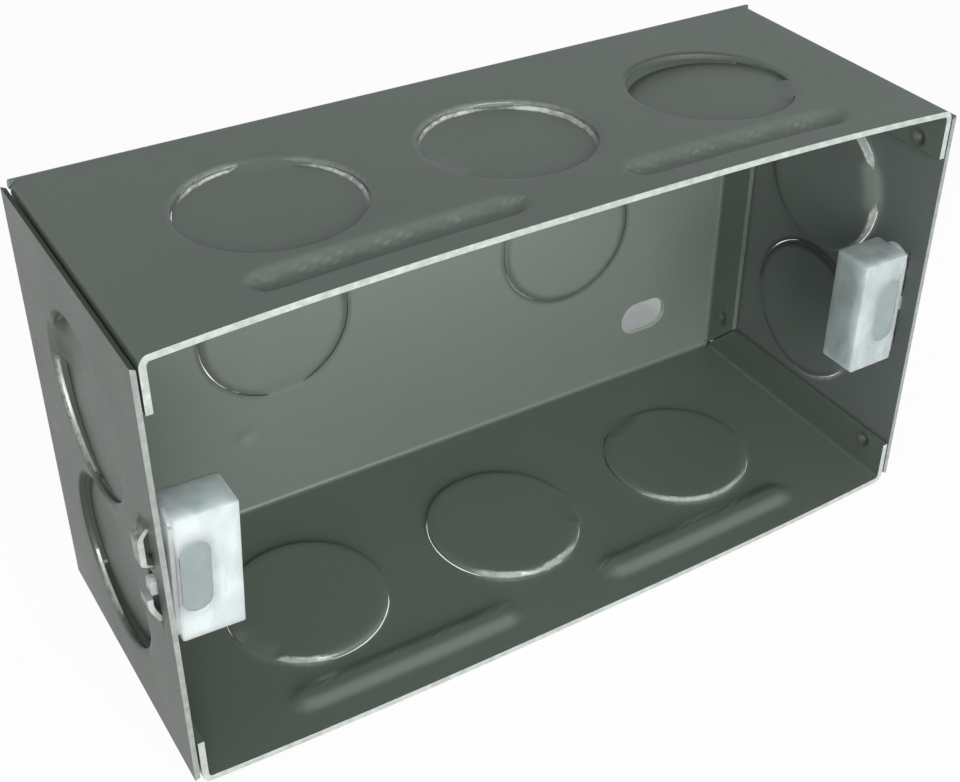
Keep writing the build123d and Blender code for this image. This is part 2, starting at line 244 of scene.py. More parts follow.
def knockout(centre, tie, near, far, seed, cracks):
    """Fill of a block with a punched disc that hangs on one tie.

    Rings run inwards from the rim of the block to the hole, and from the edge of the disc to
    its middle. The outer rim of the hole and the inner rim of the disc are rounded by quarter
    ellipses. The disc lies on a tilted plane that is near deep at the tie and far deep
    opposite, and across the tie the depth follows a smooth step of the radius. Each crack
    widens the gap by a bell about its angle. In a torn crack the hole's rim dips more and the
    rim of the disc stands up by a steep slope of the radius. A bright crack bares the wall of
    the hole, and darkens a band of the disc beside the cut as painted shade of the gap. The
    third kind of crack darkens the sheet and the disc along the cut: painted shade of the gap.
    All round, the rims are also lightened a little, a painted highlight on their rounding."""
    def fill(rim):
        rel = rim - centre
        angle = np.arctan2(rel[:, 1], rel[:, 0])
        ray = np.stack([np.cos(angle), np.sin(angle)], -1)
        reach = np.hypot(rel[:, 0], rel[:, 1])
        turn = np.abs(turn_from(angle, tie))
        tied = 1 - smooth((turn - TIE_HALF) / TIE_RUN_OUT)
        cut = 1 - tied
        room = np.clip((reach - KNOCKOUT_RADIUS - 0.5) / 1.3, 0.04, 1)
        gap = GAP + 0.04 * np.abs(wave(angle, seed, 20, 3)) + 0.05 * np.abs(wave(angle, seed + 1, 6, 1))
        looks = {kind: 0 * angle for kind in ("torn", "bright", "shaded_gap")}
        for kind, where, spread, width in cracks:
            share = np.exp(-(turn_from(angle, where) / math.radians(spread)) ** 4) * cut
            gap += width * share * (1 + 0.4 * wave(angle, seed + 2, 30, 4))
            looks[kind] = np.maximum(looks[kind], share)
        torn, bright, shaded_gap = looks["torn"], looks["bright"], looks["shaded_gap"]
        roll_depth = ROLL_DEPTH + 0.28 * torn
        edge_noise = 0.03 * wave(angle, seed + 3, 24, 5)

        def plane(radius):
            along = radius * np.cos(angle - math.radians(tie)) / KNOCKOUT_RADIUS
            return -((near + far) / 2 + (near - far) / 2 * along)

        def ramp(radius):
            return smooth((KNOCKOUT_RADIUS + RISE_OUTSIDE - radius) / (RISE_OUTSIDE + RISE_INSIDE))

        stand = -plane(KNOCKOUT_RADIUS) - 0.6 + 0.1 * wave(angle, seed + 4, 30, 6)
        burr = torn * np.clip(stand, 0.2, 0.7)
        radii, upper, lower, shine = [reach], [0 * reach], [0 * reach], [0 * reach]
        for x in SHEET_RINGS:
            r = KNOCKOUT_RADIUS + (x if x <= 0.5 else 0.5 + (x - 0.5) * room)
            r = r + edge_noise * (1 - x / SHEET_RINGS[0])
            hang = plane(r) * ramp(r) * tied
            radii.append(r)
            upper.append(hang - roll_depth * quarter_round(x, ROLL_REACH) * cut)
            lower.append(hang - 0.04 * (1 - smooth(x / 0.4)) * cut)
            # Lightening by the cut: bare torn metal, the bared wall of a bright crack, and a small
            # share all round that is a painted highlight on the rolled rim
            bare_and_highlight = (0.05 + 0.15 * torn + 0.5 * bright) * (1 - smooth(x / 0.9))
            # Darkening round the hole for the third kind of crack: painted shade of the gap
            shine.append(bare_and_highlight - 0.9 * shaded_gap * bell(x - 0.25, 0.4))
        for x in DISC_RINGS:
            r = np.clip(KNOCKOUT_RADIUS - gap - x, 0, None)
            hang = plane(r) * (1 - tied * (1 - ramp(r)))
            dip = SHOULDER_DEPTH * quarter_round(x, SHOULDER_REACH) * (1 - 0.7 * torn)
            radii.append(r)
            upper.append(hang + burr * (1 - smooth((x - 0.05) / 0.37)))
            lower.append(hang + dip * cut)
            # The disc's rim: bare torn metal, and a small share all round that is a painted highlight
            # on its rounding
            bare_and_highlight = torn * (1 - smooth((x - 0.3) / 0.2)) + 0.05 * (1 - smooth(x / 0.5))
            # A band beside the cut, darkened for the third kind of crack and for bright cracks: painted
            # shade of the gap
            darkening = smooth(x / 0.3) * (1 - smooth((x - 0.5) / 1.1))
            shine.append(bare_and_highlight - 0.9 * (shaded_gap + 0.6 * bright) * darkening)
        radii[-1] = 0 * radii[-1]
        upper[-1], lower[-1] = (np.full(len(rim), value[-1].mean()) for value in (upper, lower))
        place = np.concatenate([centre + r[:, None] * ray for r in radii])
        offset = np.stack([np.concatenate(value) for value in (upper, lower, shine)], -1)
        around, border = len(rim), len(SHEET_RINGS)
        cells = ring_quads(len(radii), around, skip=(border,))
        j = np.arange(around)[turn + np.roll(turn, -1) < 2 * TIE_HALF]
        nxt = (j + 1) % around
        last, first = border * around, (border + 1) * around
        bridge = np.stack([last + j, last + nxt, first + nxt, first + j], -1)
        return place, offset, np.concatenate([cells, bridge])

    return fill


def slot_hole(centre, length, width):
    """Fill of a block with a long round-ended hole: rings that blend from the block's rim to
    the outline, where each ray from the middle meets the two half circles and the sides."""
    def fill(rim):
        rel = rim - centre
        angle = np.arctan2(rel[:, 1], rel[:, 0])
        c, s = np.cos(angle), np.sin(angle)
        radius, run = width / 2, (length - width) / 2
        side = radius / np.maximum(np.abs(s), 1e-9)
        round_end = np.abs(c) * run + np.sqrt(np.maximum(radius ** 2 - (s * run) ** 2, 0))
        edge = np.where(np.abs(c) * side <= run, side, round_end)
        reach = np.hypot(rel[:, 0], rel[:, 1])
        radii, upper = [reach], [0 * reach]
        for x in SLOT_RINGS:
            radii.append(edge + x * np.clip((reach - edge) / 1.2, 0.1, 1))
            upper.append(0 * reach - SLOT_ROLL * quarter_round(x, SLOT_ROLL_REACH))
        place = np.concatenate([centre + r[:, None] * np.stack([c, s], -1) for r in radii])
        upper = np.concatenate(upper)
        # The shine bares the slot's wall and lightens its rolled rim, a painted highlight
        offset = np.stack([upper, 0 * upper, np.clip(-4 * upper, 0, 1)], -1)
        return place, offset, ring_quads(len(radii), len(rim))

    return fill


def bow_rise(x, y, bow):
    """Bow of a long side: whole at the middle of its front edge, and nothing at its ends, by a
    power of the distance along it, nor at its fold, by a ramp across it."""
    return bow * (1 - np.abs(x / PANEL_END) ** BOW_POWER) * (PANEL_REAR - y) / (PANEL_REAR - FRONT)


def bead_relief(place):
    """Two grooves pressed inwards, by the distance to a line.

    Their depth is the mean of a ramp and a smooth step of that distance, and the inside
    follows it with less depth. Wear lies in streaks, a product of sines, on their rear slopes."""
    depth, wear = 0, 0
    across = place[:, 1] - (FRONT + BEAD_INSET)
    streaks = np.sin(0.31 * place[:, 0] + 1) * np.sin(1.9 * place[:, 0] + 4 * place[:, 1])
    for x in (-BEAD_PITCH / 2, BEAD_PITCH / 2):
        along = np.maximum(np.abs(place[:, 0] - x) - (BEAD_LENGTH / 2 - 2.5), 0)
        away = np.hypot(along, across) / BEAD_HALF
        share = np.clip((1 - away) / 0.72, 0, 1)
        depth = depth - BEAD_DEPTH * (0.45 * share + 0.55 * smooth(share))
        wear = wear + bell(across - 1.4, 0.9) * (share > 0) * np.clip(streaks, 0, 1)
    return np.stack([depth, 0.7 * depth, 0.3 * wear], -1)


def pilot_relief(place):
    """Two small round hollows in the inner face of the back, by a smooth step of the
    distance to the middle of each."""
    hollow = 0
    for side in (1, -1):
        away = np.hypot(place[:, 0] - side * PILOT_X, place[:, 1] - (MIDDLE - side * PILOT_Z))
        hollow = hollow + PILOT_DEPTH * (1 - smooth((away - 0.5 * PILOT_RADIUS) / PILOT_RADIUS))
    return np.stack([0 * hollow, hollow, 0 * hollow], -1)


def x_lines():
    """Grid lines along the box, shared by the top, the back, the bottom and their folds."""
    outer = SIDE_PITCH + BLOCK
    middle = lines([-outer, outer], STEP)
    ends = lines([outer, PANEL_END], 2.0)[1:]
    return np.concatenate([-ends[::-1], middle, ends])


def y_lines():
    """Grid lines across a long side, close over the beads and through the knockouts."""
    low, high = KNOCKOUT_Y - BLOCK, KNOCKOUT_Y + BLOCK
    return np.concatenate([lines([FRONT, low], 0.5), lines([low, high], STEP)[1:],
                           lines([high, PANEL_REAR - MITRE_GAP / 2, PANEL_REAR], 2.0)[1:]])


def z_lines():
    """Grid lines up the back, close at the knockouts and at the slots."""
    gap = FOLD_OUTER + MITRE_GAP / 2
    slot = MIDDLE - SLOT_Z
    half_up = [FOLD_OUTER, gap, slot - SLOT_BLOCK_Z, slot + SLOT_BLOCK_Z, MIDDLE - BLOCK]
    breaks = half_up + [HEIGHT - value for value in reversed(half_up)]
    return lines(breaks, STEP)


def side_panel(bow, ties, seed):
    """A long side with three knockouts and two beads: places, offsets and cells."""
    blocks = []
    for index, (tie, near, far, cracks) in enumerate(ties):
        x = (index - 1) * SIDE_PITCH
        area = (x - BLOCK, x + BLOCK, KNOCKOUT_Y - BLOCK, KNOCKOUT_Y + BLOCK)
        fill = knockout((x, KNOCKOUT_Y), tie, near, far, seed + 10 * index, cracks)
        blocks.append((area, fill))
    place, offset, cells = flat_sheet(x_lines(), y_lines(), bead_relief, blocks)
    x, y = place.T
    level = HEIGHT + bow_rise(x, y, bow)
    outer = np.stack([x, y, level + offset[:, 0]], -1)
    inner = np.stack([x, y, level - SHEET + offset[:, 1]], -1)
    return outer, inner, offset[:, 2], cells


def back_panel(ties, seed):
    """The back: u runs against X and v up, so that the outside faces the wall."""
    blocks = []
    for index, (side, (tie, near, far, cracks)) in enumerate(zip((-1, 1), ties)):
        u = side * BACK_PITCH / 2
        area = (u - BACK_BLOCK, u + BACK_BLOCK, MIDDLE - BLOCK, MIDDLE + BLOCK)
        fill = knockout((u, MIDDLE), tie, near, far, seed + 10 * index, cracks)
        blocks.append((area, fill))
        u, v = side * SLOT_X, MIDDLE + side * SLOT_Z
        area = (u - SLOT_BLOCK_X, u + SLOT_BLOCK_X, v - SLOT_BLOCK_Z, v + SLOT_BLOCK_Z)
        blocks.append((area, slot_hole((u, v), SLOT_LENGTH, SLOT_WIDTH)))
    place, offset, cells = flat_sheet(x_lines(), z_lines(), pilot_relief, blocks)
    u, v = place.T
    outer = np.stack([-u, BACK + offset[:, 0], v], -1)
    inner = np.stack([-u, BACK - SHEET + offset[:, 1], v], -1)
    return outer, inner, offset[:, 2], cells


def long_fold():
    """Quarter ring of sheet between the top and the back, swept along the x lines.

    Its ends run on between the tabs, as far out as they, and close the corners."""
    reach = HALF - TAB_SEAT
    x = np.concatenate([[-reach], x_lines(), [reach]])
    turn = np.linspace(0, np.pi / 2, FOLD_STEPS + 1)
    xx, tt = (value.ravel() for value in np.meshgrid(x, turn, indexing="ij"))

    def ring(radius):
        y = PANEL_REAR + radius * np.sin(tt)
        return np.stack([xx, y, HEIGHT - FOLD_OUTER + radius * np.cos(tt)], -1)

    return ring(FOLD_OUTER), ring(FOLD_RADIUS), 0 * xx, grid_quads(len(x), len(turn)).reshape(-1, 4)


def tab(stations, low_end, high_end, low_slope, high_slope, welds):
    """A tab at the right end: a quarter bend and a leg, as (out, along, down) coordinates.

    Across the tab runs the bend's angle first, and then the distance down the leg.
    Along the free edge the leg keeps its stations, drawn together by the mitre. The sine of
    the bend also draws the sheet in by the seat, which leaves a thin dark gap to the plate."""
    turn = np.linspace(0, np.pi / 2, FOLD_STEPS + 1)
    down = np.linspace(0, TAB_WIDTH - FOLD_OUTER, TAB_ROWS)[1:]
    leg = np.concatenate([np.zeros(len(turn)), down])
    share = (stations - low_end) / (high_end - low_end)
    low = low_end + low_slope * leg
    high = high_end - high_slope * leg
    along = low[:, None] + share * (high - low)[:, None]
    rows, columns = along.shape
    faces = []
    for radius in (FOLD_OUTER, FOLD_RADIUS):
        seat = radius - TAB_SEAT
        side = np.concatenate([seat * np.sin(turn), np.full(len(down), seat)])
        drop = np.concatenate([FOLD_OUTER - radius * np.cos(turn), FOLD_OUTER + down])
        out = np.repeat(PANEL_END + side, columns)
        faces.append(np.stack([out, along.ravel(), np.repeat(drop, columns)], -1))
    outer, inner = faces
    shine = np.zeros(rows * columns)
    for where, depth in welds:
        away = np.hypot(inner[:, 1] - where, inner[:, 2] - depth) / WELD_RADIUS
        inner[:, 0] += WELD_DEPTH * (1 - smooth((away - 0.25) / 0.6)) - 0.08 * bell(away - 1, 0.25)
        shine += 0.5 * bell(away, 0.4) - 0.8 * bell(away - 0.8, 0.3)
    return outer, inner, shine, grid_quads(rows, columns).reshape(-1, 4)


def side_tab():
    """The tab that the top turns down at the right end."""
    y = y_lines()[:-1]
    outer, inner, shine, cells = tab(y, FRONT, y[-1], 0, 1, [(FRONT + WELD_INSET, WELD_SIDE)])
    for points in (outer, inner):
        points[:, 2] = HEIGHT - points[:, 2]
    return outer, inner, shine, cells


def back_tab():
    """The tab that the back turns forward at the right end."""
    z = z_lines()[1:-1]
    welds = [(level, WELD_INSET) for level in WELD_LEVELS]
    outer, inner, shine, cells = tab(z, z[0], z[-1], 1, 1, welds)
    outer, inner = (np.stack([points[:, 0], BACK - points[:, 2], points[:, 1]], -1)
                    for points in (outer, inner))
    return outer, inner, shine, cells[:, ::-1]


def mirrored(patch, axis):
    """A patch mirrored along the length, or across the height, with its cells turned over."""
    outer, inner, shine, cells = patch
    flipped = []
    for points in (outer, inner):
        points = points.copy()
        points[:, axis] = -points[:, axis] if axis == 0 else HEIGHT - points[:, axis]
        flipped.append(points)
    return flipped[0], flipped[1], shine, cells[:, ::-1]


def half_turned(patch):
    """A patch turned half a turn about the depth, from the top to the bottom."""
    return mirrored(mirrored(patch, 0), 2)


def strap_patch(low, high, rise, y):
    """A lanced strap of the right end plate: its outward offset is a function of height."""
    z = np.linspace(low, high, STRAP_ROWS)
    zz, yy = (value.ravel() for value in np.meshgrid(z, y, indexing="ij"))
    out = rise(zz)
    cells = grid_quads(len(z), len(y)).reshape(-1, 4)[:, ::-1]
    return np.stack([yy, zz], -1), np.stack([out, out, 0.5 * smooth(out)], -1), cells


def end_plate(ties, seed):
    """The right end plate with two knockouts, a bridge, a hook and its window."""
    strap_front, strap_rear = STRAP_Y, STRAP_Y + STRAP_WIDTH
    slit_front, slit_rear = strap_front - SLIT, strap_rear + SLIT
    block_front, block_rear = KNOCKOUT_Y - BLOCK, KNOCKOUT_Y + BLOCK
    strap_breaks = [slit_front, strap_front, strap_rear, slit_rear]
    y = np.concatenate([lines([FRONT, *strap_breaks, block_front], 1.2),
                        lines([block_front, block_rear], STEP)[1:],
                        lines([block_rear, PLATE_BACK], 2.0)[1:]])
    reach = END_PITCH / 2 + BLOCK
    z = lines([PLATE_LOW, MIDDLE - reach, HOOK_LOW, HOOK_HIGH, MIDDLE, WINDOW_HIGH, BRIDGE_LOW,
               BRIDGE_HIGH, MIDDLE + reach, PLATE_HIGH], STEP)
    blocks = [((slit_front, slit_rear, BRIDGE_LOW, BRIDGE_HIGH), None),
              ((slit_front, slit_rear, HOOK_LOW, WINDOW_HIGH), None)]
    for index, (side, (tie, near, far, cracks)) in enumerate(zip((1, -1), ties)):
        low, high = sorted((MIDDLE, MIDDLE + side * reach))
        centre = (KNOCKOUT_Y, MIDDLE + side * END_PITCH / 2)
        fill = knockout(centre, tie, near, far, seed + 10 * index, cracks)
        blocks.append(((block_front, block_rear, low, high), fill))
    plate = flat_sheet(y, z, None, blocks)
    across = y[(y > strap_front - 1e-6) & (y < strap_rear + 1e-6)]

    def bridge(zz):
        up = smooth((BRIDGE_HIGH - zz) / BRIDGE_RAMP_HIGH)
        return STRAP_RISE * up * smooth((zz - BRIDGE_LOW) / BRIDGE_RAMP_LOW)

    def hook(zz):
        return STRAP_RISE * smooth((zz - HOOK_LOW) / HOOK_RAMP)

    bridge_strap = strap_patch(BRIDGE_LOW, BRIDGE_HIGH, bridge, across)
    hook_strap = strap_patch(HOOK_LOW, HOOK_HIGH, hook, across)
    place, offset, cells = join_flat([plate, bridge_strap, hook_strap])
    outer = np.stack([HALF + END_SHEET + offset[:, 0], *place.T], -1)
    inner = np.stack([HALF + offset[:, 1], *place.T], -1)
    inner[:, 2] = np.clip(inner[:, 2], PLATE_LOW + SHEAR_SLANT, PLATE_HIGH - SHEAR_SLANT)
    return outer, inner, offset[:, 2], cells


def sheet_object(name, patches, materials):
    """One closed mesh from patches of sheet: outer faces, inner faces and walls between them.

    Patches are welded where their outer points agree. An edge that one cell alone uses is a
    free edge, and gets a wall from the outer face to the inner one: in the second material
    where a hole is torn, in the last along the front, in the first elsewhere. Free edges clear
    of the holes get a small bevel."""
    start = np.cumsum([0] + [len(patch[0]) for patch in patches])
    outer, inner, shine = (np.concatenate([patch[k] for patch in patches]) for k in range(3))
    cells = np.concatenate([patch[3] + first for patch, first in zip(patches, start)])
    # The odd share keeps the points of a seam away from where the rounding turns over
    key = np.round(outer * 1000 + 0.137).astype(np.int64)
    _, first, back = np.unique(key, axis=0, return_index=True, return_inverse=True)
    outer, inner, shine, cells = outer[first], inner[first], shine[first], back.ravel()[cells]
    edges = np.concatenate([cells[:, [k, (k + 1) % 4]] for k in range(4)])
    edges = edges[edges[:, 0] != edges[:, 1]]
    _, index, counts = np.unique(np.sort(edges, 1), axis=0, return_index=True, return_counts=True)
    free = edges[index[counts == 1]]
    count = len(outer)
    walls = np.stack([free[:, 1], free[:, 0], free[:, 0] + count, free[:, 1] + count], -1)
    cells = np.where(cells[:, :1] == cells[:, 1:2], np.roll(cells, 2, 1), cells)
    fan = cells[:, 2] == cells[:, 3]
    quads = np.concatenate([cells[~fan], cells[~fan][:, ::-1] + count, walls])
    thirds = np.concatenate([cells[fan][:, :3], cells[fan][:, 2::-1] + count])
    points = np.concatenate([outer, inner]) + (0, 0, LIFT)
    mesh = bpy.data.meshes.new(name)
    mesh.from_pydata((points * MM).tolist(), [], quads.tolist() + thirds.tolist())
    hole = (np.abs(shine[free]) > HOLE_SHINE).all(1)
    torn = (shine[free] > TORN_SHINE).all(1)
    front = (outer[free][:, :, 1] < FRONT + 0.05).all(1)
    slots = np.zeros(len(mesh.polygons), np.int32)
    slots[len(quads) - len(walls):len(quads)] = np.where(front, len(materials) - 1, torn)
    mesh.polygons.foreach_set("material_index", slots)
    ends = np.zeros(2 * len(mesh.edges), np.int32)
    mesh.edges.foreach_get("vertices", ends)
    soft = np.sort(free[~hole], 1)
    wanted = np.concatenate([soft, soft + count]) @ (2 * count, 1)
    weight = np.isin(np.sort(ends.reshape(-1, 2), 1) @ (2 * count, 1), wanted)
    layer = mesh.attributes.new("bevel_weight_edge", "FLOAT", "EDGE")
    layer.data.foreach_set("value", weight.astype(np.float32))
    layer = mesh.attributes.new("rim", "FLOAT", "POINT")
    layer.data.foreach_set("value", np.concatenate([shine, shine]).astype(np.float32))
    for material in materials:
        mesh.materials.append(material)
    piece = finished(name, mesh)
    bevel = piece.modifiers.new("broken_edges", "BEVEL")
    bevel.limit_method, bevel.width, bevel.segments = "WEIGHT", SHEET_BEVEL * MM, 2
    return piece


def finished(name, mesh, sharp=40):
    """An object from a mesh, shaded smooth up to an angle between its faces."""
    mesh.polygons.foreach_set("use_smooth", np.ones(len(mesh.polygons), bool))
    mesh.set_sharp_from_angle(angle=math.radians(sharp))
    mesh.update()
    piece = bpy.data.objects.new(name, mesh)
    bpy.context.collection.objects.link(piece)
    return piece


def node_group(name, inputs):
    """An empty shader group that gives a colour, a roughness and a height, with its named
    inputs given as name, kind and value."""
    group = bpy.data.node_groups.new(name, "ShaderNodeTree")
    for label, kind, value in [("Place", "Vector", (0, 0, 0))] + inputs:
        socket = group.interface.new_socket(name=label, in_out="INPUT", socket_type="NodeSocket" + kind)
        socket.default_value = (*value, 1) if kind == "Color" else value
    for label, kind in (("Colour", "Color"), ("Roughness", "Float"), ("Height", "Float")):
        group.interface.new_socket(name=label, in_out="OUTPUT", socket_type="NodeSocket" + kind)
    given, result = group.nodes.new("NodeGroupInput"), group.nodes.new("NodeGroupOutput")
    return group, Wiring(group), given.outputs, result.inputs


class Wiring:
    """Short calls that add nodes to one tree and link them."""

    def __init__(self, tree):
        self.nodes, self.links = tree.nodes, tree.links

    def put(self, socket, value):
        """A link where the value is a socket, else the value, with full alpha for a colour."""
        if isinstance(value, bpy.types.NodeSocket):
            self.links.new(value, socket)
        else:
            socket.default_value = (*value, 1) if socket.type == "RGBA" else value

    def feed(self, sockets, values):
        for key, value in values.items():
            self.put(sockets[key], value)

    def add(self, kind, inputs=None, **settings):
        node = self.nodes.new("ShaderNode" + kind)
        for key, value in settings.items():
            setattr(node, key, value)
        self.feed(node.inputs, inputs or {})
        return node

    def math(self, operation, a, b=0.0, clamp=False):
        return self.add("Math", {0: a, 1: b}, operation=operation, use_clamp=clamp).outputs[0]

    def mix(self, share, a, b):
        return self.add("Mix", {0: share, 6: a, 7: b}, data_type="RGBA").outputs[2]

    def fit(self, value, low, high, to_low=0.0, to_high=1.0):
        keys = {"Value": value, "From Min": low, "From Max": high, "To Min": to_low, "To Max": to_high}
        return self.add("MapRange", keys).outputs[0]

    def noise(self, place, scale, detail=2.0, roughness=0.5):
        keys = {"Vector": place, "Scale": scale, "Detail": detail, "Roughness": roughness}
        return self.add("TexNoise", keys).outputs[0]

    def stretch(self, place, x, y, z):
        return self.add("Mapping", {"Vector": place, "Scale": (x, y, z)}).outputs[0]

    def bump(self, shader, height, strength):
        node = self.add("Bump", {"Height": height, "Strength": strength, "Distance": BUMP_DEPTH})
        self.put(shader["Normal"], node.outputs[0])

    def dress(self, shader, group, looks, strength):
        """Places a group with its own looks, and feeds a shader's colour, roughness and bump."""
        given = self.add("Group", looks, node_tree=group).outputs
        self.feed(shader, {"Base Color": given["Colour"], "Roughness": given["Roughness"]})
        self.bump(shader, given["Height"], strength)


def zinc_group():
    """Rolled zinc-coated sheet: drawn grain, soft clouds, dull blooms and fine scratches. Below nought
    the Rim darkens it, painted shade in the gaps of knockouts and the burn round spot welds; above
    nought it lightens it towards bare metal, with painted highlights on rolled rims.
    """
    group, w, given, result = node_group(
        "rolled_zinc", [("Colour", "Color", (0.3, 0.3, 0.3)), ("Bloom", "Color", (0.4, 0.4, 0.4)),
                        ("Grain Scale", "Float", 1.0), ("Rim", "Float", 0.0)])
    place = given["Place"]
    cloud = w.noise(place, 38.0, 4.0, 0.55)
    patch = w.noise(place, 9.0, 3.0, 0.5)
    speck = w.noise(place, 1500.0, 2.0, 0.6)
    grain_scale = w.math("MULTIPLY", given["Grain Scale"], 1.4)
    drawn = w.noise(w.stretch(place, 60.0, 900.0, 900.0), grain_scale, 3.0, 0.6)
    crossed = {"Vector": w.stretch(place, 40.0, 420.0, 230.0), "Scale": 2.2}
    scratch = w.add("TexVoronoi", crossed, feature="DISTANCE_TO_EDGE").outputs[0]
    scratch = w.math("MULTIPLY", w.fit(scratch, 0.0, 0.012, 1.0, 0.0), w.fit(patch, 0.54, 0.64))
    stain = w.fit(w.noise(place, 120.0, 5.0, 0.7), 0.60, 0.72)
    colour = w.mix(w.fit(patch, 0.35, 0.65), given["Colour"], given["Bloom"])
    colour = w.mix(w.fit(cloud, 0.35, 0.65, 0.0, 0.10), colour, (0.08, 0.09, 0.08))
    colour = w.mix(w.fit(drawn, 0.42, 0.62, 0.0, 0.01), colour, (0.50, 0.52, 0.49))
    colour = w.mix(w.math("MULTIPLY", stain, 0.06), colour, (0.09, 0.085, 0.075))
    colour = w.mix(w.math("MULTIPLY", scratch, 0.10), colour, (0.55, 0.56, 0.54))
    # Below nought the Rim darkens the sheet: painted shade in the gaps of the knockouts, and the burn
    # round a spot weld
    darkening = w.math("MULTIPLY", given["Rim"], -0.75, clamp=True)
    colour = w.mix(darkening, colour, (0.045, 0.045, 0.04))
    # Above nought the Rim lightens it towards bare metal: torn and sheared metal, wear and welds, and a
    # painted highlight on rolled rims
    torn = w.fit(w.noise(place, 900.0, 4.0, 0.65), 0.40, 0.58, 0.35, 1.0)
    rim = w.math("MULTIPLY", w.math("MAXIMUM", given["Rim"], 0.0), torn)
    rough = w.math("ADD", w.fit(cloud, 0.3, 0.7, 0.33, 0.40), w.fit(speck, 0.3, 0.7, -0.03, 0.03))
    rough = w.math("ADD", rough, w.math("MULTIPLY", given["Rim"], -0.4, clamp=True))
    height = w.math("ADD", w.math("MULTIPLY", drawn, 0.05), w.math("MULTIPLY", speck, 0.3))
    w.feed(result, {
        "Colour": w.mix(rim, colour, (0.62, 0.64, 0.61)),
        "Roughness": w.math("SUBTRACT", rough, w.math("MULTIPLY", rim, 0.12), clamp=True),
        "Height": w.math("SUBTRACT", height, w.math("MULTIPLY", scratch, 0.25))})
    return group


def sheared_group():
    """Sheared steel: torn patches between two colours, with fine grey streaks."""
    group, w, given, result = node_group(
        "sheared_steel", [("Dark", "Color", (0.4, 0.4, 0.4)), ("Light", "Color", (0.5, 0.5, 0.5))])
    streak = w.noise(given["Place"], 2600.0, 3.0, 0.6)
    torn = w.noise(given["Place"], 700.0, 4.0, 0.65)
    colour = w.mix(w.fit(torn, 0.35, 0.65), given["Dark"], given["Light"])
    w.feed(result, {
        "Colour": w.mix(w.fit(streak, 0.58, 0.7, 0.0, 0.25), colour, (0.28, 0.29, 0.28)),
        "Roughness": w.fit(torn, 0.3, 0.7, 0.28, 0.52),
        "Height": w.math("ADD", streak, torn)})
    return group


def moulding_group():
    """Moulded plastic: soft clouds between two colours, with upright streaks of its flow."""
    group, w, given, result = node_group(
        "moulded_cloud", [("Dark", "Color", (0.4, 0.4, 0.4)), ("Light", "Color", (0.5, 0.5, 0.5))])
    cloud = w.noise(w.stretch(given["Place"], 1.0, 1.0, 0.55), 330.0, 1.0, 0.4)
    flow = w.noise(w.stretch(given["Place"], 1.0, 1.0, 0.3), 900.0, 2.0, 0.5)
    colour = w.mix(w.fit(cloud, 0.38, 0.60), given["Dark"], given["Light"])
    w.feed(result, {
        "Colour": w.mix(w.fit(flow, 0.4, 0.7, 0.0, 0.15), colour, given["Dark"]),
        "Roughness": w.fit(flow, 0.3, 0.7, 0.26, 0.36),
        "Height": cloud})
    return group


def start_material(name):
    """A node material, with its wiring, its shader's inputs and its Object coordinates."""
    material = bpy.data.materials.new(name)
    material.use_nodes = True
    w = Wiring(material.node_tree)
    shader = material.node_tree.nodes["Principled BSDF"].inputs
    return material, w, shader, w.add("TexCoord").outputs["Object"]


def sheet_material(name, group, colour, bloom, grain, metal, gloss):
    """Zinc-coated sheet, satin, with its grain in the bump."""
    material, w, shader, place = start_material(name)
    rim = w.add("Attribute", attribute_name="rim").outputs["Fac"]
    looks = {"Place": place, "Colour": colour, "Bloom": bloom, "Grain Scale": grain, "Rim": rim}
    w.dress(shader, group, looks, 0.2)
    w.feed(shader, {"Metallic": metal, "Specular IOR Level": gloss})
    return material


def sheared_material(name, group, dark, light):
    """Bare sheared edge of a sheet."""
    material, w, shader, place = start_material(name)
    w.dress(shader, group, {"Place": place, "Dark": dark, "Light": light}, 0.2)
    w.put(shader["Metallic"], 0.45)
    return material


def plastic_material(name, group, dark, light):
    """Milky moulded plastic that light soaks into."""
    material, w, shader, place = start_material(name)
    w.dress(shader, group, {"Place": place, "Dark": dark, "Light": light}, 0.05)
    w.feed(shader, {"IOR": 1.49, "Subsurface Weight": 1.0, "Subsurface Scale": 1.0,
                    "Subsurface Radius": (0.0100, 0.0105, 0.0105)})
    return material


def skin_material():
    """The thin frosted skin across a screw slot, through which the nut shows faintly."""
    material, w, shader, place = start_material("frosted_skin")
    mist = w.noise(place, 260.0, 2.0, 0.5)
    w.feed(shader, {"Base Color": w.mix(mist, (0.195, 0.235, 0.235), (0.24, 0.28, 0.28)),
                    "Roughness": w.fit(mist, 0.3, 0.7, 0.50, 0.62),
                    "Alpha": w.fit(mist, 0.3, 0.7, 0.84, 0.90)})
    w.bump(shader, mist, 0.1)
    return material


def nut_material():
    """Nickel-plated brass, warm grey, with turning marks."""
    material, w, shader, place = start_material("plated_brass")
    grain = w.noise(w.stretch(place, 1.0, 0.2, 1.0), 1800.0, 3.0, 0.6)
    cloud = w.fit(w.noise(place, 300.0, 3.0, 0.5), 0.35, 0.65)
    w.feed(shader, {"Base Color": w.mix(cloud, (0.66, 0.58, 0.55), (0.76, 0.70, 0.67)),
                    "Roughness": w.fit(grain, 0.3, 0.7, 0.28, 0.42),
                    "Metallic": 0.9})
    w.bump(shader, grain, 0.3)
    return material


